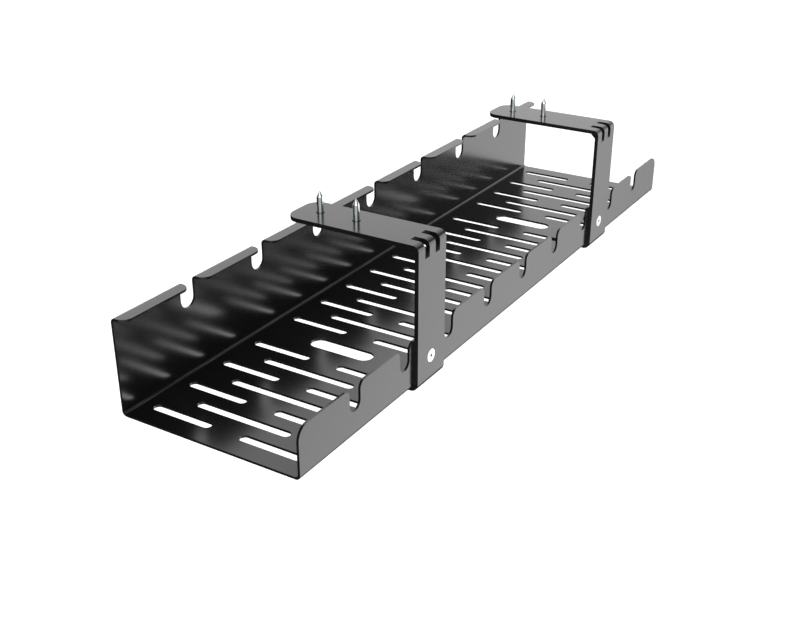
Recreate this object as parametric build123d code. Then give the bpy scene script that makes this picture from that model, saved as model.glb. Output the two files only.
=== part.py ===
from build123d import *
import os
from math import sqrt

# Under-desk cable tray: a folded, slotted steel trough hung from two bent strip
# brackets. All sizes are in millimetres. X runs along the tray, -Y is the low front
# wall that the brackets are bolted to, +Z is up towards the desk.
# The origin is the centre of the four desk screws, in the plane of the desk's underside.
# The bracket is the fixed part: the tray's front wall lies against its upright, and the
# tray's width and walls grow away from there.

# Tray sheet
tray_length = 500.0
tray_width = 120.5
tray_sheet = 1.5
tray_bend = 3.0
front_height = 30.5
back_height = 60.0

# Top flange of the back wall, parted by the notches into tabs with round corners
flange_width = 10.1
flange_count = 8
flange_corner_radius = 6.0
back_notch_width = 11.8
back_notch_floor = 42.5

# Cable notches in the front wall
front_notch_count = 9
front_notch_width = 10.1
front_notch_floor = 15.3
front_notch_lead_radius = 5.0
front_notch_trail_radius = 4.0
front_end_radius = 8.5

# Floor slots
slot_width = 5.9
slot_pitch = 30.0
short_slot_length = 40.5
short_slot_offset = 30.2
long_slot_length = 63.5
window_width = 11.8
window_length = 44.0
window_clearance = 20.0
slot_end_margin = 11.0

# Bracket strip
bracket_pitch = 250.0
strip_width = 30.2
strip_thickness = 2.6
bracket_height = 90.4
arm_length = 90.3
foot_length = 36.0
arm_bend = 4.0
foot_bend = 5.0
arm_end_radius = 9.0
foot_end_radius = 9.0

# Pressed ribs that brace the upper bend of each bracket
rib_width = 4.8
rib_spacing = 11.3
rib_leg = 9.7

# Countersunk bolt and nut that clamp each bracket to the front wall
bolt_diameter = 5.0
bolt_length = 12.0
bolt_head_diameter = 8.2
bolt_head_rim = 0.2
bolt_height = 15.0
bolt_hole_clearance = 0.3
nut_flats = 8.0
nut_height = 4.0
nut_bore_clearance = 0.1

# Desk screws: they stand point up in the arm, at this setback from the tray's front wall
screw_setback = 60.25
screw_spacing = 25.0
screw_diameter = 4.0
screw_neck_diameter = 3.6
screw_length = 16.0
screw_tip_length = 3.6
screw_head_diameter = 8.0
screw_head_height = 2.5
screw_hole_clearance = 1.0

# Desk screw heads have a sloping shoulder; every head has a cross recess
head_slope = 1.6
bolt_recess_span = 2.8
screw_recess_span = 4.4

# Places worked out from the sizes above
overcut = 1.0
floor_z = strip_thickness - bracket_height
front_y = -screw_setback
back_y = front_y + tray_width
middle_y = front_y + tray_width / 2
front_top = floor_z + front_height
back_top = floor_z + back_height
bracket_x = bracket_pitch / 2
flange_pitch = (tray_length + back_notch_width) / flange_count
front_notch_pitch = tray_length / (front_notch_count + 1)
tray_left = -tray_length / 2
tray_right = tray_length / 2
face_y = front_y - strip_thickness
bolt_z = floor_z + bolt_height
bolt_seat = bolt_head_rim + (bolt_head_diameter - bolt_diameter) / 2


def tray_section():
    """Outline of the folded sheet across the tray, on the YZ plane."""
    middle = Pos(middle_y, floor_z + back_height / 2)
    outer = middle * RectangleRounded(tray_width, back_height, tray_bend)
    hollow = RectangleRounded(
        tray_width - 2 * tray_sheet, back_height - 2 * tray_sheet, tray_bend - tray_sheet
    )
    mouth_width = tray_width - flange_width + overcut
    mouth_height = back_height - front_height + overcut
    mouth = Pos(
        front_y - overcut + mouth_width / 2, front_top + mouth_height / 2
    ) * Rectangle(mouth_width, mouth_height)
    return Plane.YZ * (outer - middle * hollow - mouth)


def front_notch_face():
    """One front notch: round floor, unlike corner radii at its two lips."""
    half = front_notch_width / 2
    floor = floor_z + front_notch_floor
    above = front_top + overcut
    trail, lead = front_notch_trail_radius, front_notch_lead_radius
    outline = [
        Line((-half - trail, above), (-half - trail, front_top)),
        RadiusArc((-half - trail, front_top), (-half, front_top - trail), trail),
        Line((-half, front_top - trail), (-half, floor + half)),
        ThreePointArc((-half, floor + half), (0, floor), (half, floor + half)),
        Line((half, floor + half), (half, front_top - lead)),
        RadiusArc((half, front_top - lead), (half + lead, front_top), lead),
        Line((half + lead, front_top), (half + lead, above)),
        Line((half + lead, above), (-half - trail, above)),
    ]
    return make_face(Wire(outline))


def front_wall_cuts():
    """The notches along the front wall and the rounded corners at its two ends."""
    plane = Plane(origin=(0, front_y - overcut, 0), x_dir=(1, 0, 0), z_dir=(0, -1, 0))
    through = -(tray_bend + 2 * overcut)
    notch = front_notch_face()
    tools = []
    for index in range(1, front_notch_count + 1):
        tools.append(Pos(tray_left + index * front_notch_pitch, 0) * notch)
    size = 2 * front_end_radius
    for side in (-1, 1):
        corner = Pos(side * tray_right, front_top) * Rectangle(size, size)
        centre = Pos(side * (tray_right - front_end_radius), front_top - front_end_radius)
        tools.append(corner - centre * Circle(front_end_radius))
    return [extrude(plane * tool, amount=through) for tool in tools]


def flange_gap_face(tab_end, next_tab):
    """Gap between two flange tabs seen from above, widening round their lip corners."""
    behind = back_y + overcut
    lip = back_y - flange_width
    radius = flange_corner_radius
    outline = [
        Line((tab_end, behind), (tab_end, lip + radius)),
        RadiusArc((tab_end, lip + radius), (tab_end - radius, lip), radius),
        Line((tab_end - radius, lip), (tab_end - radius, lip - overcut)),
        Line((tab_end - radius, lip - overcut), (next_tab + radius, lip - overcut)),
        Line((next_tab + radius, lip - overcut), (next_tab + radius, lip)),
        RadiusArc((next_tab + radius, lip), (next_tab, lip + radius), radius),
        Line((next_tab, lip + radius), (next_tab, behind)),
        Line((next_tab, behind), (tab_end, behind)),
    ]
    return make_face(Wire(outline))


def back_wall_cuts():
    """U notches in the back wall and the gaps that part the flange into tabs."""
    wall = Plane(origin=(0, back_y + overcut, 0), x_dir=(1, 0, 0), z_dir=(0, -1, 0))
    fold_line = back_top - tray_bend
    below_fold = Plane.XY.offset(fold_line - overcut)
    floor = floor_z + back_notch_floor
    half = back_notch_width / 2
    notch = Pos(0, (floor + half + fold_line) / 2) * Rectangle(
        back_notch_width, fold_line - floor - half
    ) + Pos(0, floor + half) * Circle(half)
    cuts = []
    for index in range(flange_count + 1):
        start = tray_left + index * flange_pitch
        gap = flange_gap_face(start - back_notch_width, start)
        cuts.append(extrude(below_fold * gap, amount=tray_bend + 2 * overcut))
        if 0 < index < flange_count:
            tool = wall * Pos(start - half, 0) * notch
            cuts.append(extrude(tool, amount=tray_bend + overcut))
    return cuts


def slot_lines():
    """X of each line of short slots: a run out from each bracket and a run in."""
    lines = []
    place = bracket_x + window_clearance
    while place <= tray_right - slot_end_margin - slot_width / 2 + 0.001:
        lines += [place, -place]
        place += slot_pitch
    place = bracket_x - window_clearance
    while place > slot_width:
        lines += [place, -place]
        place -= slot_pitch
    return sorted(lines)


def floor_cuts():
    """Staggered cable slots in the floor and a wide window below each bracket."""
    short = Rot(0, 0, 90) * SlotOverall(short_slot_length, slot_width)
    long = Rot(0, 0, 90) * SlotOverall(long_slot_length, slot_width)
    window = Rot(0, 0, 90) * SlotOverall(window_length, window_width)
    lines = slot_lines()
    holes = []
    for x in lines:
        for y in (middle_y - short_slot_offset, middle_y + short_slot_offset):
            holes.append(Pos(x, y) * short)
    for left, right in zip(lines, lines[1:]):
        if right - left < slot_pitch + slot_width / 2:
            holes.append(Pos((left + right) / 2, middle_y) * long)
    holes += [Pos(-bracket_x, middle_y) * window, Pos(bracket_x, middle_y) * window]
    below = Plane.XY.offset(floor_z - overcut)
    return [extrude(below * hole, amount=tray_sheet + 2 * overcut) for hole in holes]


def cylinder_y(radius, start, length, x, z):
    """A round bar along +Y from Y = start."""
    face = Plane(origin=(x, start, z), x_dir=(1, 0, 0), z_dir=(0, 1, 0)) * Circle(radius)
    return extrude(face, amount=length)


def make_tray():
    """The folded trough with its flange tabs, notches, slots and bolt holes."""
    body = Pos(tray_left, 0, 0) * extrude(tray_section(), amount=tray_length)
    hole = (bolt_diameter + bolt_hole_clearance) / 2
    cuts = front_wall_cuts() + back_wall_cuts() + floor_cuts()
    for x in (-bracket_x, bracket_x):
        cuts.append(cylinder_y(hole, front_y - overcut, tray_bend + overcut, x, bolt_z))
    return body - cuts


def bracket_profile():
    """Side view of the bent strip: foot, upright and arm, on the YZ plane."""
    foot_y = face_y + foot_length
    arm_y = face_y + arm_length
    outer = FilletPolyline(
        (foot_y, -bracket_height),
        (face_y, -bracket_height),
        (face_y, 0),
        (arm_y, 0),
        radius=[foot_bend, arm_bend],
    )
    inner = FilletPolyline(
        (foot_y, floor_z),
        (front_y, floor_z),
        (front_y, -strip_thickness),
        (arm_y, -strip_thickness),
        radius=[foot_bend - strip_thickness, arm_bend - strip_thickness],
    )
    ends = [Line(outer @ 0, inner @ 0), Line(outer @ 1, inner @ 1)]
    return Plane.YZ * make_face(Wire(outer.edges() + inner.edges() + ends))


def rib_profile():
    """Diagonal web of one pressed rib, on the YZ plane."""
    slant = rib_leg + strip_thickness * sqrt(2) - strip_thickness
    points = [
        (face_y + rib_leg, 0),
        (face_y, -rib_leg),
        (front_y, -slant),
        (face_y + slant, -strip_thickness),
    ]
    return Plane.YZ * make_face(Polyline(*points, close=True))


def across(face, width, x):
    """The YZ face made into a solid of this width, centred on x."""
    return Pos(x - width / 2, 0, 0) * extrude(face, amount=width)


def make_bracket(x):
    """One bracket, centred on x, with its holes, rounded ends and pressed ribs."""
    strip = across(bracket_profile(), strip_width, x)
    arm_end = strip.edges().filter_by(Axis.Z).group_by(Axis.Y)[-1]
    strip = fillet(arm_end, arm_end_radius)
    foot_tip = face_y + foot_length
    foot_end = [
        edge
        for edge in strip.edges().filter_by(Axis.Z)
        if abs(edge.center().Y - foot_tip) < overcut and edge.center().Z < floor_z
    ]
    strip = fillet(foot_end, foot_end_radius)
    for rib_x in (x - rib_spacing / 2, x + rib_spacing / 2):
        window = Pos(rib_x, face_y + (rib_leg - overcut) / 2, (overcut - rib_leg) / 2) * Box(
            rib_width, rib_leg + overcut, rib_leg + overcut
        )
        strip = strip - window + across(rib_profile(), rib_width, rib_x)
    bolt_hole = (bolt_diameter + bolt_hole_clearance) / 2
    strip -= cylinder_y(bolt_hole, face_y - overcut, strip_thickness + 2 * overcut, x, bolt_z)
    head_hole = (bolt_head_diameter + bolt_hole_clearance) / 2
    strip -= cylinder_y(head_hole, face_y - overcut, bolt_head_rim + overcut, x, bolt_z)
    sink = Pos(0, 0, (bolt_seat + bolt_head_rim) / 2) * Cone(
        head_hole, bolt_hole, bolt_seat - bolt_head_rim
    )
    strip -= Plane(origin=(x, face_y, bolt_z), x_dir=(1, 0, 0), z_dir=(0, 1, 0)) * sink
    screw_hole = (screw_diameter + screw_hole_clearance) / 2
    for y in (-screw_spacing / 2, screw_spacing / 2):
        strip -= Pos(x, y, -strip_thickness / 2) * Cylinder(screw_hole, strip_thickness + overcut)
    return strip


def cross_recess(span, top):
    """Two crossed slots for the driver, cut down from this height on the XY plane."""
    wing = span / 4
    slot = Pos(0, 0, top - wing / 2) * Box(span, wing, wing)
    return [slot, Rot(0, 0, 90) * slot]


def head(diameter, height, recess_span):
    """A low head on the XY plane, nose along +Z, with a cross recess for the driver."""
    rim = height / 3
    radius = diameter / 2
    outline = Polyline(
        (0, 0), (radius, 0), (radius, rim), (radius - head_slope, height), (0, height), close=True
    )
    return revolve(Plane.XZ * make_face(outline), Axis.Z) - cross_recess(recess_span, height)


def make_bolt(x):
    """Countersunk bolt through bracket and front wall, its head flush with the bracket."""
    rim_radius = bolt_head_diameter / 2
    radius = bolt_diameter / 2
    tip = bolt_diameter / 10
    outline = Polyline(
        (0, 0),
        (rim_radius, 0),
        (rim_radius, -bolt_head_rim),
        (radius, -bolt_seat),
        (radius, tip - bolt_length),
        (radius - tip, -bolt_length),
        (0, -bolt_length),
        close=True,
    )
    bolt = revolve(Plane.XZ * make_face(outline), Axis.Z) - cross_recess(bolt_recess_span, 0)
    return Plane(origin=(x, face_y, bolt_z), x_dir=(1, 0, 0), z_dir=(0, -1, 0)) * bolt


def make_nut(x):
    """Hexagon nut against the inside of the front wall."""
    blank = extrude(RegularPolygon(nut_flats / 2, 6, major_radius=False), amount=nut_height)
    inscribed = nut_flats / 2
    cone = Cone(inscribed + nut_height * sqrt(3), inscribed, nut_height)
    body = blank & Pos(0, 0, nut_height / 2) * cone
    body -= Pos(0, 0, nut_height / 2) * Cylinder(
        (bolt_diameter + nut_bore_clearance) / 2, nut_height + overcut
    )
    seat = Plane(origin=(x, front_y + tray_sheet, bolt_z), x_dir=(1, 0, 0), z_dir=(0, 1, 0))
    return seat * body


def make_desk_screw(x, y):
    """Wood screw pointing up through the arm: head below it, narrower neck inside it."""
    neck = screw_neck_diameter / 2
    shank = screw_diameter / 2
    outline = Polyline(
        (0, 0),
        (neck, 0),
        (neck, strip_thickness),
        (shank, strip_thickness),
        (shank, screw_length - screw_tip_length),
        (0, screw_length),
        close=True,
    )
    stem = revolve(Plane.XZ * make_face(outline), Axis.Z)
    cap = Rot(180, 0, 0) * head(screw_head_diameter, screw_head_height, screw_recess_span)
    return Pos(x, y, -strip_thickness) * (stem + cap)


def build():
    """Every piece of the tray by its node name."""
    pieces = {"tray": make_tray()}
    for side, x in (("left", -bracket_x), ("right", bracket_x)):
        pieces[f"bracket_{side}"] = make_bracket(x)
        pieces[f"bracket_bolt_{side}"] = make_bolt(x)
        pieces[f"bracket_nut_{side}"] = make_nut(x)
        pieces[f"desk_screw_{side}_front"] = make_desk_screw(x, -screw_spacing / 2)
        pieces[f"desk_screw_{side}_back"] = make_desk_screw(x, screw_spacing / 2)
    return pieces


os.makedirs("parts", exist_ok=True)
for name, piece in build().items():
    export_step(piece, f"parts/{name}.step")
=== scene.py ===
from math import pi, radians

import bpy
from bpy.props import FloatProperty, FloatVectorProperty, IntProperty, PointerProperty
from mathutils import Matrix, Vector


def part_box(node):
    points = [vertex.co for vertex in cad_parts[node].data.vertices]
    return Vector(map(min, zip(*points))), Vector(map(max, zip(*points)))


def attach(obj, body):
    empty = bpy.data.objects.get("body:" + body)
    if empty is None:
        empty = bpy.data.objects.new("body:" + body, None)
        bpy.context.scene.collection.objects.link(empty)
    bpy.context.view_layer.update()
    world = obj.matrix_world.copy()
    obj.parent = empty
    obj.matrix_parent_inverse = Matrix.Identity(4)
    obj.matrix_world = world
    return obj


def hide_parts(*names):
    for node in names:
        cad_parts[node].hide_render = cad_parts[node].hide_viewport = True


bl_info = {
    "name": "Under-Desk Cable Tray",
    "version": (1, 0, 0),
    "blender": (4, 5, 0),
    "location": "View3D > Sidebar > Cable Tray",
    "description": "Finishes a folded steel cable tray, its two brackets and their fasteners",
    "category": "Object",
}

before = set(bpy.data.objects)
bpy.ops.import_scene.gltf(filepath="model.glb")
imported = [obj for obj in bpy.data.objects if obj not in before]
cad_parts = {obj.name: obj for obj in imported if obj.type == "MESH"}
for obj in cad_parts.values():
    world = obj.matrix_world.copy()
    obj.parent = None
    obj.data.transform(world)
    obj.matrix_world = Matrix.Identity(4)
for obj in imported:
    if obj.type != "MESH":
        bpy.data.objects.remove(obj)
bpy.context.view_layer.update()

SIDES = ("left", "right")
DESK_SCREWS = tuple(f"desk_screw_{side}_{row}" for side in SIDES for row in ("front", "back"))
COAT_SLOT = "black_coat"
ZINC_SLOT = "zinc_plate"
# Face mark on the walls of a recess, where the zinc gets painted shade
RECESS_SHADE_MARK = "recess"
MM = 0.001

# Copied sheets: points closer than this are one, and faces closer to flat than this are joined
SHEET_MERGE = 0.002 * MM
FLAT_ANGLE = radians(0.2)

# Where faces meet at more than the edge angle, the edge is rounded in this many steps; where they
# meet at less than the smooth angle, they are shaded as one surface
EDGE_STEPS = 2
SHEET_EDGE_ANGLE = radians(50)
SHEET_SMOOTH_ANGLE = radians(30)
TURNED_EDGE_ANGLE = radians(25)
TURNED_SMOOTH_ANGLE = radians(20)

# Cross recess: a wing's width as a share of the span, the share of its size left at the bottom,
# and the share of the depth at the top and at the bottom that doesn't count as wall
WING_SHARE = 0.36
RECESS_TAPER = 0.6
WALL_MARGIN = 0.01
# How far the left and the right bolt are turned on their own axes, in radians
BOLT_SPINS = (-0.58, 0.0)

# Thread: a ridge of this many corners, in which points closer than this are one
RIDGE_CORNERS = 3
THREAD_MERGE = 0.001 * MM

# Nut: radius of its end faces to the flats, of its rounding to the corners, and of the bore's mouth
# to the bore
HEX_SIDES = 6
END_SHARE = 0.97
CORNER_CLEARANCE = 1.01
MOUTH_SHARE = 1.12
# The very tip of a desk screw, as a share of its shank
TIP_SHARE = 0.03

# Mottle: detail of the slow and of the fine noise, their middle value, and the share of the fine
# one in the roughness
PATCH_DETAIL = 3.0
GRAIN_DETAIL = 2.0
NOISE_MIDDLE = 0.5
GRAIN_SHARE = 0.15
# Sockets of a Mix node's colours, by number, because their names stand for other kinds too
MIX_FIRST = 6
MIX_SECOND = 7
MIX_RESULT = 2

# Edges of the studio light along one axis of a ray's direction: two values of that axis, and the
# share of the light at each
LOW_FRONT = (-0.46, -0.12, 1.0, 0.0)
LOW_BELOW = (0.15, 0.33, 1.0, 0.0)
LOW_RIGHT = (-0.1, 0.6, 0.0, 1.0)
HIGH_ABOVE = (-0.08, 0.12, 0.0, 1.0)
HIGH_BACK = (-0.52, 0.1, 0.06, 1.0)
HIGH_RIGHT = (-0.1, 0.5, 0.0, 1.0)
KEY_LEFT = (-0.2, -0.55, 0.0, 1.0)
KEY_AHEAD = (0.28, -0.05, 0.0, 1.0)
KEY_RISE = (-0.15, 0.25, 0.0, 1.0)
FILL_NEAR = (0.36, 0.2, 0.0, 1.0)
FILL_LEAN = (0.1, -0.5, 0.14, 0.6)
REAR_BEHIND = (0.55, 0.8, 0.0, 1.0)
REAR_LEVEL = (-0.2, 0.0, 0.0, 1.0)
# Light that comes from everywhere
BASE_LIGHT = 0.02

FLOOR_ROUGHNESS = 0.8
# Nearest distance that the camera shows
NEAR_CLIP = 10 * MM


class CoatSettings(bpy.types.PropertyGroup):
    """Black satin coating of the tray and the brackets"""

    color: FloatVectorProperty(
        name="Colour",
        description="Colour of the coating itself",
        subtype="COLOR",
        size=3,
        min=0.0,
        max=1.0,
        default=(0.006, 0.006, 0.0065),
    )
    shade_spread: FloatProperty(
        name="Shade Spread",
        description="How far the coating's colour drifts from place to place",
        subtype="FACTOR",
        min=0.0,
        max=1.0,
        default=0.35,
    )
    patch_size: FloatProperty(
        name="Patch Size",
        description="Width of the patches of lighter and darker coating",
        unit="LENGTH",
        min=0.1 * MM,
        default=50 * MM,
    )
    roughness: FloatProperty(
        name="Roughness",
        description="Middle roughness of the coating",
        subtype="FACTOR",
        min=0.0,
        max=1.0,
        default=0.19,
    )
    roughness_spread: FloatProperty(
        name="Roughness Spread",
        description="How far the coating's roughness drifts from place to place",
        subtype="FACTOR",
        min=0.0,
        max=1.0,
        default=0.03,
    )
    refraction: FloatProperty(
        name="IOR",
        description="Index of refraction, which sets how strongly the coating mirrors",
        min=1.0,
        max=3.0,
        default=1.66,
    )
    grain_size: FloatProperty(
        name="Grain Size",
        description="Width of the fine ripples in the coating",
        unit="LENGTH",
        min=0.1 * MM,
        default=1.1 * MM,
    )
    grain_height: FloatProperty(
        name="Grain Height",
        description="Height of the fine ripples in the coating",
        unit="LENGTH",
        min=0.0,
        default=0.00025 * MM,
    )
    edge_radius: FloatProperty(
        name="Edge Radius",
        description="Rounding that the coating gives to the cut edges of the sheet",
        unit="LENGTH",
        min=0.05 * MM,
        default=0.08 * MM,
    )


class ZincSettings(bpy.types.PropertyGroup):
    """Bright zinc plating of the screws, bolts and nuts"""

    color: FloatVectorProperty(
        name="Colour",
        description="Colour of the plating",
        subtype="COLOR",
        size=3,
        min=0.0,
        max=1.0,
        default=(0.76, 0.81, 0.81),
    )
    roughness: FloatProperty(
        name="Roughness",
        description="Middle roughness of the plating",
        subtype="FACTOR",
        min=0.0,
        max=1.0,
        default=0.15,
    )
    roughness_spread: FloatProperty(
        name="Roughness Spread",
        description="How far the plating's roughness drifts from place to place",
        subtype="FACTOR",
        min=0.0,
        max=1.0,
        default=0.12,
    )
    shade_spread: FloatProperty(
        name="Shade Spread",
        description="How far the plating's colour drifts from place to place",
        subtype="FACTOR",
        min=0.0,
        max=1.0,
        default=0.22,
    )
    patch_size: FloatProperty(
        name="Patch Size",
        description="Width of the patches of lighter and darker plating",
        unit="LENGTH",
        min=0.1 * MM,
        default=1.6 * MM,
    )
    grain_size: FloatProperty(
        name="Grain Size",
        description="Width of the fine grain in the plating",
        unit="LENGTH",
        min=0.05 * MM,
        default=0.22 * MM,
    )
    grain_height: FloatProperty(
        name="Grain Height",
        description="Height of the fine grain in the plating",
        unit="LENGTH",
        min=0.0,
        default=0.001 * MM,
    )
    # Painted shade: a dark colour given to the walls of a cross recess in place of the shade that
    # falls there
    recess_painted_shade: FloatVectorProperty(
        name="Recess Colour",
        description="Colour of the walls of a cross recess, which lie in shade",
        subtype="COLOR",
        size=3,
        min=0.0,
        max=1.0,
        default=(0.02, 0.02, 0.02),
    )


class FastenerSettings(bpy.types.PropertyGroup):
    """Shapes of the heads, threads and nuts that the frame keeps plain"""

    segments: IntProperty(
        name="Segments",
        description="Number of sides round a screw, bolt or nut",
        min=16,
        default=64,
    )
    edge_radius: FloatProperty(
        name="Edge Radius",
        description="Rounding of the turned edges",
        unit="LENGTH",
        min=0.05 * MM,
        default=0.08 * MM,
    )
    recess_depth: FloatProperty(
        name="Recess Depth",
        description="Depth of the cross recesses at their middle",
        unit="LENGTH",
        min=0.2 * MM,
        default=0.9 * MM,
    )
    bolt_recess_span: FloatProperty(
        name="Bolt Recess Span",
        description="Width across the cross recess of a bolt",
        unit="LENGTH",
        min=0.5 * MM,
        default=3.2 * MM,
    )
    bolt_radius: FloatProperty(
        name="Bolt Radius",
        description="Outer radius of the bolt's thread",
        unit="LENGTH",
        min=0.5 * MM,
        default=2.5 * MM,
    )
    bolt_rim: FloatProperty(
        name="Bolt Rim",
        description="Height of the straight rim of the bolt's head",
        unit="LENGTH",
        min=0.05 * MM,
        default=0.2 * MM,
    )
    thread_pitch: FloatProperty(
        name="Thread Pitch",
        description="Distance between two turns of the bolt's thread",
        unit="LENGTH",
        min=0.3 * MM,
        default=0.8 * MM,
    )
    thread_depth: FloatProperty(
        name="Thread Depth",
        description="Depth of the bolt's thread",
        unit="LENGTH",
        min=0.1 * MM,
        default=0.42 * MM,
    )
    nut_bore_radius: FloatProperty(
        name="Nut Bore Radius",
        description="Radius of the nut's bore",
        unit="LENGTH",
        min=0.5 * MM,
        default=2.55 * MM,
    )
    nut_chamfer: FloatProperty(
        name="Nut Chamfer",
        description="Height of the sloping corners at both ends of the nut",
        unit="LENGTH",
        min=0.1 * MM,
        default=0.6 * MM,
    )
    screw_recess_span: FloatProperty(
        name="Screw Recess Span",
        description="Width across the cross recess of a desk screw",
        unit="LENGTH",
        min=0.5 * MM,
        default=4.4 * MM,
    )
    screw_radius: FloatProperty(
        name="Screw Radius",
        description="Radius of a desk screw's shank",
        unit="LENGTH",
        min=0.5 * MM,
        default=2 * MM,
    )
    screw_neck_radius: FloatProperty(
        name="Screw Neck Radius",
        description="Radius of the screw where it passes the arm",
        unit="LENGTH",
        min=0.5 * MM,
        default=1.8 * MM,
    )
    screw_tip_length: FloatProperty(
        name="Screw Tip Length",
        description="Length of the screw's point",
        unit="LENGTH",
        min=0.5 * MM,
        default=3.6 * MM,
    )
    screw_head_height: FloatProperty(
        name="Screw Head Height",
        description="Height of the desk screw's head",
        unit="LENGTH",
        min=0.5 * MM,
        default=2.5 * MM,
    )
    screw_head_rim: FloatProperty(
        name="Screw Head Rim",
        description="Height of the straight rim of the desk screw's head",
        unit="LENGTH",
        min=0.1 * MM,
        default=0.8 * MM,
    )
    screw_head_slope: FloatProperty(
        name="Screw Head Slope",
        description="Width of the sloping shoulder of the head",
        unit="LENGTH",
        min=0.1 * MM,
        default=1.6 * MM,
    )


class StageSettings(bpy.types.PropertyGroup):
    """Floor, light and camera"""

    camera_place: FloatVectorProperty(
        name="Camera Place",
        description="Where the camera stands, in the tray's own frame",
        subtype="TRANSLATION",
        unit="LENGTH",
        size=3,
        default=(-0.61515, -0.3429, 0.22952),
    )
    camera_yaw: FloatProperty(
        name="Camera Yaw",
        description="Turn of the camera about the upright axis, from looking at the front wall",
        subtype="ANGLE",
        default=-1.0197,
    )
    camera_pitch: FloatProperty(
        name="Camera Pitch",
        description="How far the camera looks down",
        subtype="ANGLE",
        default=0.4601,
    )
    camera_lens: FloatProperty(
        name="Camera Lens",
        description="Focal length of the lens",
        subtype="DISTANCE_CAMERA",
        min=1.0,
        default=49.89,
    )
    floor_drop: FloatProperty(
        name="Floor Drop",
        description="How far the floor lies below the desk's underside",
        unit="LENGTH",
        min=0.1,
        default=0.72,
    )
    floor_size: FloatProperty(
        name="Floor Size",
        description="Width of the floor",
        unit="LENGTH",
        min=1.0,
        default=60.0,
    )
    floor_color: FloatVectorProperty(
        name="Floor Colour",
        description="Colour of the floor",
        subtype="COLOR",
        size=3,
        min=0.0,
        max=1.0,
        default=(0.93, 0.93, 0.93),
    )
    floor_glow: FloatProperty(
        name="Floor Glow",
        description="Light that the floor gives off by itself",
        min=0.0,
        default=0.6,
    )
    low_light: FloatProperty(
        name="Low Light",
        description="Strength of the light low in front, on the right",
        min=0.0,
        default=2.4,
    )
    high_light: FloatProperty(
        name="High Light",
        description="Strength of the light high behind, on the right",
        min=0.0,
        default=1.6,
    )
    key_light: FloatProperty(
        name="Key Light",
        description="Strength of the light from the left",
        min=0.0,
        default=2.7,
    )
    rear_light: FloatProperty(
        name="Rear Light",
        description="Strength of the light from straight behind",
        min=0.0,
        default=0.4,
    )


def settings(name):
    """The scene's settings of this name."""
    return getattr(bpy.context.scene, "cable_tray_" + name)


def clear_selection():
    """Nothing selected and no object in edit mode."""
    if bpy.context.object and bpy.context.object.mode != "OBJECT":
        bpy.ops.object.mode_set(mode="OBJECT")
    bpy.ops.object.select_all(action="DESELECT")


def pick(piece):
    """Only this piece selected and active."""
    clear_selection()
    piece.select_set(True)
    bpy.context.view_layer.objects.active = piece


def apply_modifier(piece, kind, **values):
    """Adds one modifier to the piece, sets it and applies it."""
    pick(piece)
    bpy.ops.object.modifier_add(type=kind)
    modifier = piece.modifiers[-1]
    for name, value in values.items():
        setattr(modifier, name, value)
    bpy.ops.object.modifier_apply(modifier=modifier.name)


def settle(piece, material, slot_name, *nodes):
    """Puts the piece's place into its mesh, gives it its finish and stands it in for nodes."""
    pick(piece)
    bpy.ops.object.transform_apply(location=True, rotation=True, scale=True)
    piece.data.materials.clear()
    piece.data.materials.append(material)
    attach(piece, "root")
    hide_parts(*nodes)


def sheet_copy(node, name, edge_radius):
    """A joined copy of a sheet node with its cut edges rounded by the coating."""
    piece = bpy.data.objects.new(name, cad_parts[node].data.copy())
    bpy.context.scene.collection.objects.link(piece)
    pick(piece)
    bpy.ops.object.mode_set(mode="EDIT")
    bpy.ops.mesh.select_all(action="SELECT")
    bpy.ops.mesh.remove_doubles(threshold=SHEET_MERGE)
    bpy.ops.mesh.dissolve_limited(angle_limit=FLAT_ANGLE, delimit={"NORMAL"})
    bpy.ops.object.mode_set(mode="OBJECT")
    apply_modifier(
        piece,
        "BEVEL",
        width=edge_radius,
        segments=EDGE_STEPS,
        limit_method="ANGLE",
        angle_limit=SHEET_EDGE_ANGLE,
        use_clamp_overlap=False,
        harden_normals=False,
        miter_outer="MITER_ARC",
    )
    pick(piece)
    bpy.ops.object.shade_smooth_by_angle(angle=SHEET_SMOOTH_ANGLE)
    apply_modifier(piece, "WEIGHTED_NORMAL", keep_sharp=True, weight=100)
    return piece


def select_points(piece, wanted):
    """Enters edit mode with only the wanted points selected; wanted judges a point's place."""
    pick(piece)
    bpy.ops.object.mode_set(mode="EDIT")
    bpy.ops.mesh.select_mode(type="VERT")
    bpy.ops.mesh.select_all(action="DESELECT")
    bpy.ops.object.mode_set(mode="OBJECT")
    for vertex in piece.data.vertices:
        vertex.select = wanted(vertex.co)
    bpy.ops.object.mode_set(mode="EDIT")


def turned(name, rings, segments, edge_radius):
    """A solid of revolution drawn out ring by ring from a disc; a ring is a radius and a height."""
    radius, height = rings[0]
    clear_selection()
    bpy.ops.mesh.primitive_circle_add(
        vertices=segments, radius=radius, fill_type="NGON", location=(0, 0, height)
    )
    piece = bpy.context.object
    piece.name = name
    bpy.ops.object.transform_apply(location=True, rotation=True, scale=True)
    bpy.ops.object.mode_set(mode="EDIT")
    bpy.ops.mesh.select_all(action="SELECT")
    for wider, higher in rings[1:]:
        bpy.ops.mesh.extrude_region_move(
            TRANSFORM_OT_translate={"value": (0, 0, higher - height), "orient_type": "GLOBAL"}
        )
        share = wider / radius
        bpy.ops.transform.resize(value=(share, share, 1), center_override=(0, 0, higher))
        radius, height = wider, higher
    bpy.ops.mesh.select_all(action="SELECT")
    bpy.ops.mesh.normals_make_consistent(inside=False)
    bpy.ops.object.mode_set(mode="OBJECT")
    if edge_radius:
        apply_modifier(
            piece,
            "BEVEL",
            width=edge_radius,
            segments=EDGE_STEPS,
            limit_method="ANGLE",
            angle_limit=TURNED_EDGE_ANGLE,
        )
    return piece


def combine(piece, other, operation):
    """Cuts away, keeps or adds what the other piece fills, and drops the other piece."""
    apply_modifier(piece, "BOOLEAN", object=other, operation=operation, solver="EXACT")
    bpy.data.objects.remove(other)


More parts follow.
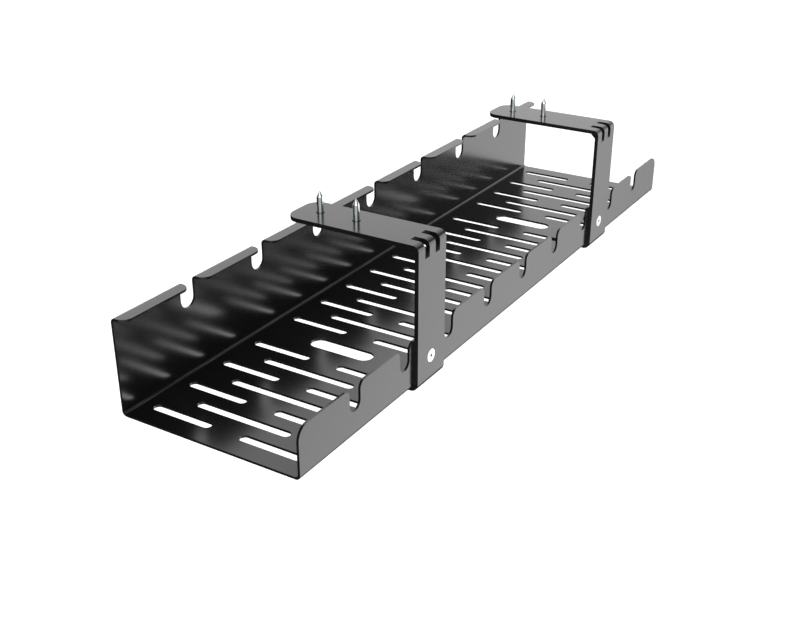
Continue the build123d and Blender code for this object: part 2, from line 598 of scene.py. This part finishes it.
def join(piece, other):
    """Makes the other piece part of this one."""
    pick(piece)
    other.select_set(True)
    bpy.ops.object.join()


def cross_cutter(span, depth):
    """Two crossed wings that taper as they sink this deep below the origin."""
    wings = []
    for turn in (0, pi / 2):
        clear_selection()
        bpy.ops.mesh.primitive_cube_add(size=1)
        wing = bpy.context.object
        wing.scale = (span, span * WING_SHARE, 2 * depth)
        wing.rotation_euler.z = turn
        bpy.ops.object.transform_apply(location=True, rotation=True, scale=True)
        select_points(wing, lambda place: place.z < 0)
        bpy.ops.transform.resize(
            value=(RECESS_TAPER, RECESS_TAPER, 1), center_override=(0, 0, -depth)
        )
        bpy.ops.object.mode_set(mode="OBJECT")
        wings.append(wing)
    combine(wings[0], wings[1], "UNION")
    return wings[0]


def cut_recess(piece, span, depth, facing):
    """Sinks a cross recess into a head that faces 1 up or -1 down, and marks the recess's walls,
    which get painted shade.
    """
    cutter = cross_cutter(span, depth)
    cutter.rotation_euler.x = 0 if facing > 0 else pi
    pick(cutter)
    bpy.ops.object.transform_apply(location=True, rotation=True, scale=True)
    combine(piece, cutter, "DIFFERENCE")
    mark = piece.data.attributes.new(RECESS_SHADE_MARK, "FLOAT", "FACE")
    for face in piece.data.polygons:
        sunk = -face.center.z * facing / depth
        inside = face.center.xy.length < span / 2
        wall = inside and WALL_MARGIN < sunk < 1 - WALL_MARGIN
        mark.data[face.index].value = float(wall)


def thread_ridge(radius, depth, pitch, bottom, turns, segments):
    """A sharp ridge wound round the Z axis, closed at both ends."""
    clear_selection()
    bpy.ops.mesh.primitive_circle_add(
        vertices=RIDGE_CORNERS,
        radius=depth,
        location=(radius - depth, 0, bottom),
        rotation=(pi / 2, pi / 2, 0),
    )
    ridge = bpy.context.object
    bpy.ops.object.transform_apply(location=True, rotation=True, scale=True)
    apply_modifier(
        ridge,
        "SCREW",
        axis="Z",
        screw_offset=pitch,
        iterations=turns,
        steps=segments,
        render_steps=segments,
    )
    bpy.ops.object.mode_set(mode="EDIT")
    bpy.ops.mesh.select_all(action="SELECT")
    bpy.ops.mesh.remove_doubles(threshold=THREAD_MERGE)
    bpy.ops.mesh.fill_holes(sides=RIDGE_CORNERS)
    bpy.ops.mesh.select_all(action="SELECT")
    bpy.ops.mesh.normals_make_consistent(inside=False)
    bpy.ops.object.mode_set(mode="OBJECT")
    return ridge


def low_middles(boxes, axis):
    """The middle of each node's box, brought to the box's low face on this axis."""
    places = {}
    for node, (low, high) in boxes.items():
        place = [(near + far) / 2 for near, far in zip(low, high)]
        place[axis] = low[axis]
        places[node] = place
    return places


def stand_copies(piece, turn, places, spins=None):
    """Copies the piece for each node, spins it on its axis, turns it about X and places it."""
    pieces = [piece]
    while len(pieces) < len(places):
        pick(piece)
        bpy.ops.object.duplicate(linked=False)
        pieces.append(bpy.context.object)
    for each, (node, place), spin in zip(pieces, places.items(), spins or (0,) * len(places)):
        each.name = f"{node}_finished"
        each.rotation_mode = "ZYX"
        each.rotation_euler = (turn, 0, spin)
        each.location = place
        pick(each)
        bpy.ops.object.shade_smooth_by_angle(angle=TURNED_SMOOTH_ANGLE)
        settle(each, zinc_material(), ZINC_SLOT, node)


def socket(group, name, direction, kind):
    """Adds one input or output to a node group."""
    group.interface.new_socket(name=name, in_out=direction, socket_type=kind)


def math_node(tree, operation, first, second=None, third=None):
    """One math node; each input is a number or another node's output."""
    node = tree.nodes.new("ShaderNodeMath")
    node.operation = operation
    for index, value in enumerate((first, second, third)):
        if value is None:
            continue
        if isinstance(value, (int, float)):
            node.inputs[index].default_value = value
        else:
            tree.links.new(value, node.inputs[index])
    return node.outputs[0]


def chain(tree, operation, first, *others):
    """These values joined one after the other by one kind of math node."""
    for other in others:
        first = math_node(tree, operation, first, other)
    return first


def range_node(tree, value, low, high, to_low, to_high):
    """The value carried smoothly from one range to another and kept inside it."""
    node = tree.nodes.new("ShaderNodeMapRange")
    node.interpolation_type = "SMOOTHSTEP"
    tree.links.new(value, node.inputs["Value"])
    numbers = (low, high, to_low, to_high)
    for name, number in zip(("From Min", "From Max", "To Min", "To Max"), numbers):
        node.inputs[name].default_value = number
    return node.outputs["Result"]


def noise_node(tree, place, scale, detail):
    """Noise of this detail, with as many waves to the metre as the scale's socket says."""
    node = tree.nodes.new("ShaderNodeTexNoise")
    node.inputs["Detail"].default_value = detail
    tree.links.new(scale, node.inputs["Scale"])
    tree.links.new(place, node.inputs["Vector"])
    return node.outputs["Fac"]


def mottle_group():
    """Slow drift of shade and roughness with a fine ripple, for every finish of the object."""
    name = "Surface Mottle"
    if name in bpy.data.node_groups:
        return bpy.data.node_groups[name]
    group = bpy.data.node_groups.new(name, "ShaderNodeTree")
    socket(group, "Vector", "INPUT", "NodeSocketVector")
    socket(group, "Patch Scale", "INPUT", "NodeSocketFloat")
    socket(group, "Grain Scale", "INPUT", "NodeSocketFloat")
    socket(group, "Color", "INPUT", "NodeSocketColor")
    socket(group, "Shade Spread", "INPUT", "NodeSocketFloat")
    socket(group, "Roughness", "INPUT", "NodeSocketFloat")
    socket(group, "Roughness Spread", "INPUT", "NodeSocketFloat")
    socket(group, "Color", "OUTPUT", "NodeSocketColor")
    socket(group, "Roughness", "OUTPUT", "NodeSocketFloat")
    socket(group, "Grain", "OUTPUT", "NodeSocketFloat")
    source = group.nodes.new("NodeGroupInput").outputs
    result = group.nodes.new("NodeGroupOutput").inputs
    patches = noise_node(group, source["Vector"], source["Patch Scale"], PATCH_DETAIL)
    grain = noise_node(group, source["Vector"], source["Grain Scale"], GRAIN_DETAIL)
    centred = math_node(group, "SUBTRACT", patches, NOISE_MIDDLE)
    shade = math_node(group, "MULTIPLY_ADD", centred, source["Shade Spread"], 1.0)
    tint = group.nodes.new("ShaderNodeVectorMath")
    tint.operation = "SCALE"
    group.links.new(source["Color"], tint.inputs[0])
    group.links.new(shade, tint.inputs["Scale"])
    group.links.new(tint.outputs[0], result["Color"])
    ripple = math_node(group, "SUBTRACT", grain, NOISE_MIDDLE)
    drift = math_node(group, "MULTIPLY_ADD", ripple, GRAIN_SHARE, centred)
    rough = math_node(group, "MULTIPLY_ADD", drift, source["Roughness Spread"], source["Roughness"])
    group.links.new(rough, result["Roughness"])
    group.links.new(grain, result["Grain"])
    return group


def mottled_material(name, finish):
    """A material whose colour, roughness and ripple come from the mottle group."""
    material = bpy.data.materials.new(name)
    material.use_nodes = True
    tree = material.node_tree
    shader = tree.nodes["Principled BSDF"]
    place = tree.nodes.new("ShaderNodeTexCoord").outputs["Object"]
    mottle = tree.nodes.new("ShaderNodeGroup")
    mottle.node_tree = mottle_group()
    tree.links.new(place, mottle.inputs["Vector"])
    mottle.inputs["Patch Scale"].default_value = 1.0 / finish.patch_size
    mottle.inputs["Grain Scale"].default_value = 1.0 / finish.grain_size
    mottle.inputs["Color"].default_value = (*finish.color, 1.0)
    mottle.inputs["Shade Spread"].default_value = finish.shade_spread
    mottle.inputs["Roughness"].default_value = finish.roughness
    mottle.inputs["Roughness Spread"].default_value = finish.roughness_spread
    tree.links.new(mottle.outputs["Color"], shader.inputs["Base Color"])
    tree.links.new(mottle.outputs["Roughness"], shader.inputs["Roughness"])
    bump = tree.nodes.new("ShaderNodeBump")
    bump.inputs["Strength"].default_value = 1.0
    bump.inputs["Distance"].default_value = finish.grain_height
    tree.links.new(mottle.outputs["Grain"], bump.inputs["Height"])
    tree.links.new(bump.outputs["Normal"], shader.inputs["Normal"])
    return material, tree, shader, mottle


def coat_material():
    """Black satin coating with a faint ripple."""
    name = "Black Satin Coat"
    if name in bpy.data.materials:
        return bpy.data.materials[name]
    coat = settings("coat")
    material, _, shader, _ = mottled_material(name, coat)
    shader.inputs["IOR"].default_value = coat.refraction
    return material


def zinc_material():
    """Bright zinc plating with soft patches and a fine grain, with painted shade on the walls of a
    recess.
    """
    name = "Bright Zinc Plate"
    if name in bpy.data.materials:
        return bpy.data.materials[name]
    zinc = settings("zinc")
    material, tree, shader, mottle = mottled_material(name, zinc)
    shader.inputs["Metallic"].default_value = 1.0
    mark = tree.nodes.new("ShaderNodeAttribute")
    mark.attribute_name = RECESS_SHADE_MARK
    # Painted shade: the marked walls of a recess take the dark recess colour
    shade = tree.nodes.new("ShaderNodeMix")
    shade.data_type = "RGBA"
    tree.links.new(mark.outputs["Fac"], shade.inputs["Factor"])
    tree.links.new(mottle.outputs["Color"], shade.inputs[MIX_FIRST])
    shade.inputs[MIX_SECOND].default_value = (*zinc.recess_painted_shade, 1.0)
    tree.links.new(shade.outputs[MIX_RESULT], shader.inputs["Base Color"])
    return material


class CABLETRAY_OT_tray(bpy.types.Operator):
    """Finish the folded tray: joined sheet, rounded cut edges and black coating"""

    bl_idname = "cable_tray.tray"
    bl_label = "Tray"

    def execute(self, context):
        piece = sheet_copy("tray", "tray_sheet", settings("coat").edge_radius)
        settle(piece, coat_material(), COAT_SLOT, "tray")
        return {"FINISHED"}


class CABLETRAY_OT_brackets(bpy.types.Operator):
    """Finish both brackets: joined strips, rounded cut edges and black coating"""

    bl_idname = "cable_tray.brackets"
    bl_label = "Brackets"

    def execute(self, context):
        for side in SIDES:
            node = f"bracket_{side}"
            piece = sheet_copy(node, f"bracket_strip_{side}", settings("coat").edge_radius)
            settle(piece, coat_material(), COAT_SLOT, node)
        return {"FINISHED"}


class CABLETRAY_OT_bolts(bpy.types.Operator):
    """Model the countersunk bolts with their cross recess and thread"""

    bl_idname = "cable_tray.bolts"
    bl_label = "Bolts"

    def execute(self, context):
        fit = settings("fastener")
        nodes = [f"bracket_bolt_{side}" for side in SIDES]
        boxes = {node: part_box(node) for node in nodes}
        low, high = boxes[nodes[0]]
        head_radius = (high[0] - low[0]) / 2
        length = high[1] - low[1]
        core = fit.bolt_radius - fit.thread_depth
        seat = fit.bolt_rim + head_radius - fit.bolt_radius
        lead = fit.thread_depth
        rings = (
            (core - lead, -length),
            (core, lead - length),
            (core, -seat - fit.thread_pitch),
            (fit.bolt_radius, -seat - fit.thread_pitch),
            (fit.bolt_radius, -seat),
            (head_radius, -fit.bolt_rim),
            (head_radius, 0),
        )
        bolt = turned("bolt", rings, fit.segments, fit.edge_radius)
        cut_recess(bolt, fit.bolt_recess_span, fit.recess_depth, 1)
        bottom = fit.thread_pitch / 2 + lead - length
        turns = int((-seat - fit.thread_pitch / 2 - bottom) / fit.thread_pitch)
        ridge = thread_ridge(
            fit.bolt_radius, fit.thread_depth, fit.thread_pitch, bottom, turns, fit.segments
        )
        join(bolt, ridge)
        stand_copies(bolt, pi / 2, low_middles(boxes, 1), BOLT_SPINS)
        return {"FINISHED"}


class CABLETRAY_OT_nuts(bpy.types.Operator):
    """Model the hexagon nuts with their sloping corners and bore"""

    bl_idname = "cable_tray.nuts"
    bl_label = "Nuts"

    def execute(self, context):
        fit = settings("fastener")
        nodes = [f"bracket_nut_{side}" for side in SIDES]
        boxes = {node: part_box(node) for node in nodes}
        low, high = boxes[nodes[0]]
        corner = (high[0] - low[0]) / 2
        flat = (high[2] - low[2]) / 2
        height = high[1] - low[1]
        clear_selection()
        bpy.ops.mesh.primitive_cylinder_add(
            vertices=HEX_SIDES,
            radius=corner,
            depth=height,
            location=(0, 0, height / 2),
            rotation=(0, 0, pi / HEX_SIDES),
        )
        nut = context.object
        bpy.ops.object.transform_apply(location=True, rotation=True, scale=True)
        end = flat * END_SHARE
        wide = corner * CORNER_CLEARANCE
        rings = (
            (end, 0),
            (wide, fit.nut_chamfer),
            (wide, height - fit.nut_chamfer),
            (end, height),
        )
        combine(nut, turned("rounding", rings, fit.segments, 0), "INTERSECT")
        bore = fit.nut_bore_radius
        mouth = bore * MOUTH_SHARE
        rings = (
            (mouth, -fit.nut_chamfer / 2),
            (mouth, 0),
            (bore, mouth - bore),
            (bore, height + bore - mouth),
            (mouth, height),
            (mouth, height + fit.nut_chamfer / 2),
        )
        combine(nut, turned("bore", rings, fit.segments, 0), "DIFFERENCE")
        stand_copies(nut, -pi / 2, low_middles(boxes, 1))
        return {"FINISHED"}


class CABLETRAY_OT_desk_screws(bpy.types.Operator):
    """Model the desk screws with their point, neck and recessed head"""

    bl_idname = "cable_tray.desk_screws"
    bl_label = "Desk Screws"

    def execute(self, context):
        fit = settings("fastener")
        boxes = {node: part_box(node) for node in DESK_SCREWS}
        low, high = boxes[DESK_SCREWS[0]]
        head_radius = (high[0] - low[0]) / 2
        arm_top = -low[2]
        tip = high[2] - low[2]
        seat = fit.screw_head_height
        rings = (
            (head_radius - fit.screw_head_slope, 0),
            (head_radius, seat - fit.screw_head_rim),
            (head_radius, seat),
            (fit.screw_neck_radius, seat),
            (fit.screw_neck_radius, arm_top),
            (fit.screw_radius, arm_top),
            (fit.screw_radius, tip - fit.screw_tip_length),
            (fit.screw_radius * TIP_SHARE, tip),
        )
        screw = turned("desk_screw", rings, fit.segments, fit.edge_radius)
        cut_recess(screw, fit.screw_recess_span, fit.recess_depth, -1)
        stand_copies(screw, 0, low_middles(boxes, 2))
        return {"FINISHED"}


def make_world(stage):
    """Soft light low in front, high on the right, from the left and behind; white to the camera."""
    world = bpy.data.worlds.new("Studio Light")
    bpy.context.scene.world = world
    world.use_nodes = True
    tree = world.node_tree
    tree.nodes.clear()
    way = tree.nodes.new("ShaderNodeSeparateXYZ")
    place = tree.nodes.new("ShaderNodeTexCoord")
    tree.links.new(place.outputs["Generated"], way.inputs[0])
    x, y, z = way.outputs
    front = range_node(tree, y, *LOW_FRONT)
    below = range_node(tree, z, *LOW_BELOW)
    right = range_node(tree, x, *LOW_RIGHT)
    low = chain(tree, "MULTIPLY", front, below, right, stage.low_light)
    above = range_node(tree, z, *HIGH_ABOVE)
    back = range_node(tree, y, *HIGH_BACK)
    upper_right = range_node(tree, x, *HIGH_RIGHT)
    high = chain(tree, "MULTIPLY", above, back, upper_right, stage.high_light)
    left = range_node(tree, x, *KEY_LEFT)
    ahead = range_node(tree, y, *KEY_AHEAD)
    rise = range_node(tree, z, *KEY_RISE)
    key = chain(tree, "MULTIPLY", left, ahead, rise, stage.key_light)
    near = range_node(tree, y, *FILL_NEAR)
    lean = range_node(tree, x, *FILL_LEAN)
    fill = chain(tree, "MULTIPLY", near, lean, below)
    behind = range_node(tree, y, *REAR_BEHIND)
    level = range_node(tree, z, *REAR_LEVEL)
    rear = chain(tree, "MULTIPLY", behind, level, stage.rear_light)
    strength = chain(tree, "ADD", low, high, key, fill, rear, BASE_LIGHT)
    studio = tree.nodes.new("ShaderNodeBackground")
    tree.links.new(strength, studio.inputs["Strength"])
    plain = tree.nodes.new("ShaderNodeBackground")
    plain.inputs["Color"].default_value = (1.0, 1.0, 1.0, 1.0)
    choice = tree.nodes.new("ShaderNodeMixShader")
    seen = tree.nodes.new("ShaderNodeLightPath").outputs["Is Camera Ray"]
    tree.links.new(seen, choice.inputs["Fac"])
    tree.links.new(studio.outputs[0], choice.inputs[1])
    tree.links.new(plain.outputs[0], choice.inputs[2])
    output = tree.nodes.new("ShaderNodeOutputWorld")
    tree.links.new(choice.outputs[0], output.inputs["Surface"])


def floor_material(stage):
    """Pale floor that gives off some light, so that it stays even."""
    material = bpy.data.materials.new("Pale Floor")
    material.use_nodes = True
    shader = material.node_tree.nodes["Principled BSDF"]
    shader.inputs["Base Color"].default_value = (*stage.floor_color, 1.0)
    shader.inputs["Roughness"].default_value = FLOOR_ROUGHNESS
    shader.inputs["Emission Color"].default_value = (1.0, 1.0, 1.0, 1.0)
    shader.inputs["Emission Strength"].default_value = stage.floor_glow
    return material


class CABLETRAY_OT_stage(bpy.types.Operator):
    """Set up the floor, the light and the camera"""

    bl_idname = "cable_tray.stage"
    bl_label = "Stage"

    def execute(self, context):
        stage = settings("stage")
        clear_selection()
        bpy.ops.mesh.primitive_plane_add(
            size=stage.floor_size, location=(0, 0, -stage.floor_drop)
        )
        floor = context.object
        floor.name = "floor"
        floor.data.materials.append(floor_material(stage))
        floor.visible_glossy = False
        make_world(stage)
        clear_selection()
        bpy.ops.object.camera_add(
            location=stage.camera_place,
            rotation=(pi / 2 - stage.camera_pitch, 0, stage.camera_yaw),
        )
        camera = context.object
        camera.name = "camera"
        camera.data.lens = stage.camera_lens
        camera.data.clip_start = NEAR_CLIP
        context.scene.camera = camera
        context.scene.view_settings.view_transform = "Standard"
        return {"FINISHED"}


class CABLETRAY_PT_panel(bpy.types.Panel):
    """Steps that finish the cable tray"""

    bl_label = "Cable Tray"
    bl_space_type = "VIEW_3D"
    bl_region_type = "UI"
    bl_category = "Cable Tray"

    def draw(self, context):
        column = self.layout.column()
        for step in STEPS:
            column.operator(step.bl_idname, text=step.bl_label)
        for name, group in GROUPS.items():
            box = self.layout.box()
            box.label(text=name.title())
            for field in group.__annotations__:
                box.prop(settings(name), field)


STEPS = (
    CABLETRAY_OT_tray,
    CABLETRAY_OT_brackets,
    CABLETRAY_OT_bolts,
    CABLETRAY_OT_nuts,
    CABLETRAY_OT_desk_screws,
    CABLETRAY_OT_stage,
)
GROUPS = {
    "coat": CoatSettings,
    "zinc": ZincSettings,
    "fastener": FastenerSettings,
    "stage": StageSettings,
}
CLASSES = (*GROUPS.values(), *STEPS, CABLETRAY_PT_panel)


def register():
    for item in CLASSES:
        bpy.utils.register_class(item)
    for name, group in GROUPS.items():
        setattr(bpy.types.Scene, "cable_tray_" + name, PointerProperty(type=group))


def unregister():
    for name in GROUPS:
        delattr(bpy.types.Scene, "cable_tray_" + name)
    for item in reversed(CLASSES):
        bpy.utils.unregister_class(item)


def main():
    register()
    bpy.ops.cable_tray.tray()
    bpy.ops.cable_tray.brackets()
    bpy.ops.cable_tray.bolts()
    bpy.ops.cable_tray.nuts()
    bpy.ops.cable_tray.desk_screws()
    bpy.ops.cable_tray.stage()


if __name__ == "__main__":
    main()
